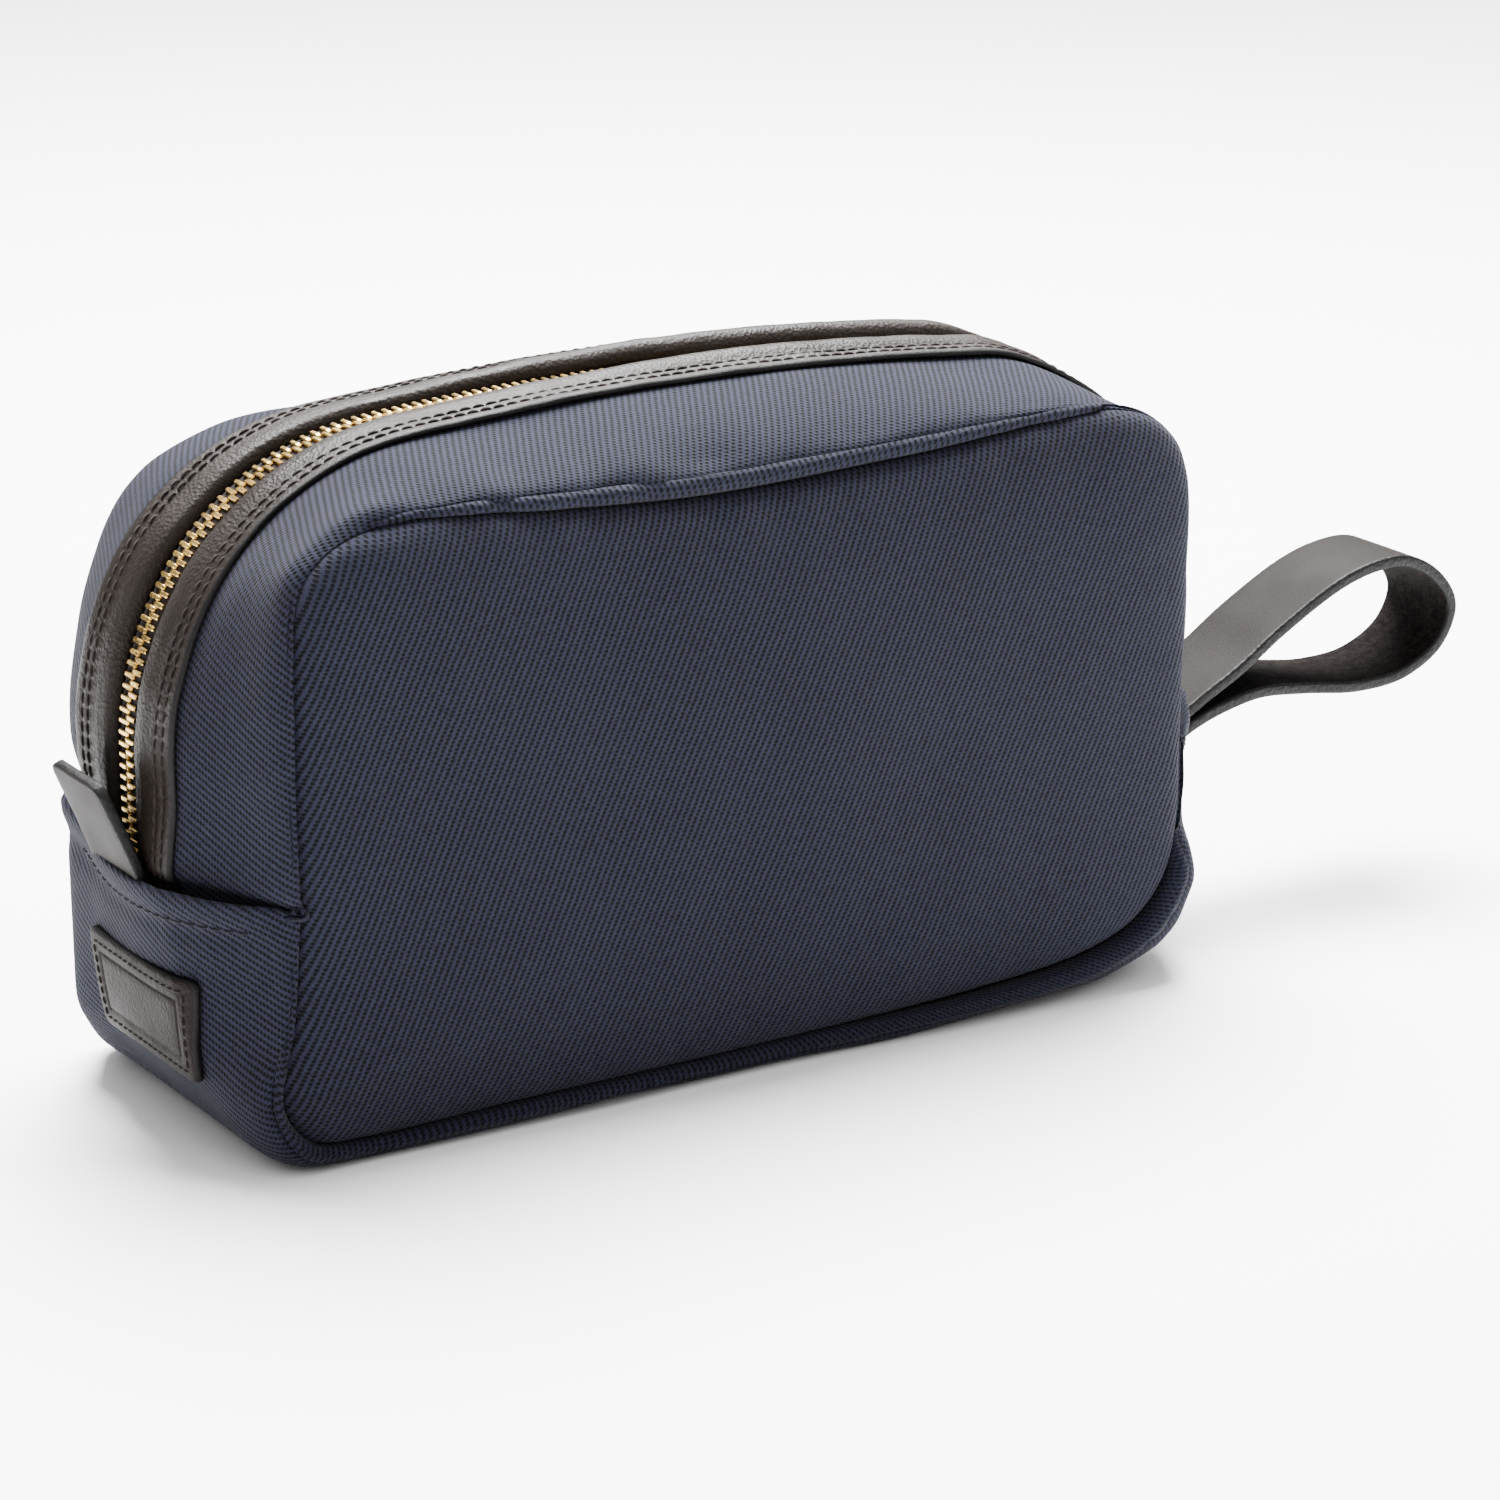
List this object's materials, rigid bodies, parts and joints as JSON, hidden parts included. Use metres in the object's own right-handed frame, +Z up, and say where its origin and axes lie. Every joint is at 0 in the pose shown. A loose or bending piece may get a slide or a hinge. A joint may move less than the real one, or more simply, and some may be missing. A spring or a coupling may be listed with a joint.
{
  "type": "wash bag",
  "caption": "Soft zip-top wash bag in twill with leather zip bindings, an end tab and a leather wrist strap, for carrying shaving and grooming things.",
  "frame": {"origin": "on the resting surface under the middle of the bag, below the crown of the zip", "axes": "+X along the bag towards the wrist strap, +Y towards the back panel, +Z up"},
  "size_m": [0.3822, 0.1046, 0.1615],
  "materials": {
    "twill": "navy cotton twill, matte",
    "lining": "plain woven cotton lining, matte",
    "trim_leather": "dark brown leather, soft sheen",
    "strap_leather": "grey-brown bridle leather, satin",
    "zip_tape": "woven zip tape, dark brown",
    "brass": "polished brass"
  },
  "bodies": {
    "bag": {"front_panel": "twill", "front_lining": "lining", "front_seam_binding": "lining", "top_gusset_front": "twill", "top_lining_front": "lining", "zip_tape_front": "zip_tape", "zip_binding_front": "trim_leather", "zip_chain_front": "brass", "zip_top_stop_front": "brass", "back_panel": "twill", "back_lining": "lining", "back_seam_binding": "lining", "top_gusset_back": "twill", "top_lining_back": "lining", "zip_tape_back": "zip_tape", "zip_binding_back": "trim_leather", "zip_chain_back": "brass", "zip_top_stop_back": "brass", "lower_gusset": "twill", "lower_lining": "lining", "zip_bottom_stop": "brass", "label_patch": "trim_leather"},
    "slider": {"zip_slider": "brass"},
    "puller": {"zip_puller": "brass"},
    "strap": {"wrist_strap": "strap_leather"},
    "tab": {"end_tab": "strap_leather"}
  },
  "joints": [
    {"name": "slider_run", "type": "hinge", "parent": "bag", "child": "slider", "pos_m": [0.07, 0, 0.088], "axis": [0, -1, 0], "range_deg": [0, 78]},
    {"name": "puller_pivot", "type": "hinge", "parent": "slider", "child": "puller", "pos_m": [0.13825, 0, 0.088], "axis": [0, -1, 0], "range_deg": [0, 165]},
    {"name": "strap_bend", "type": "hinge", "parent": "bag", "child": "strap", "pos_m": [0.1424, 0, 0.0494], "axis": [0, -1, 0], "range_deg": [-30, 30], "stiffness_Nm_per_rad": 0.25},
    {"name": "tab_bend", "type": "hinge", "parent": "bag", "child": "tab", "pos_m": [-0.1413, 0, 0.0608], "axis": [0, -1, 0], "range_deg": [-15, 40], "stiffness_Nm_per_rad": 0.03}
  ]
}
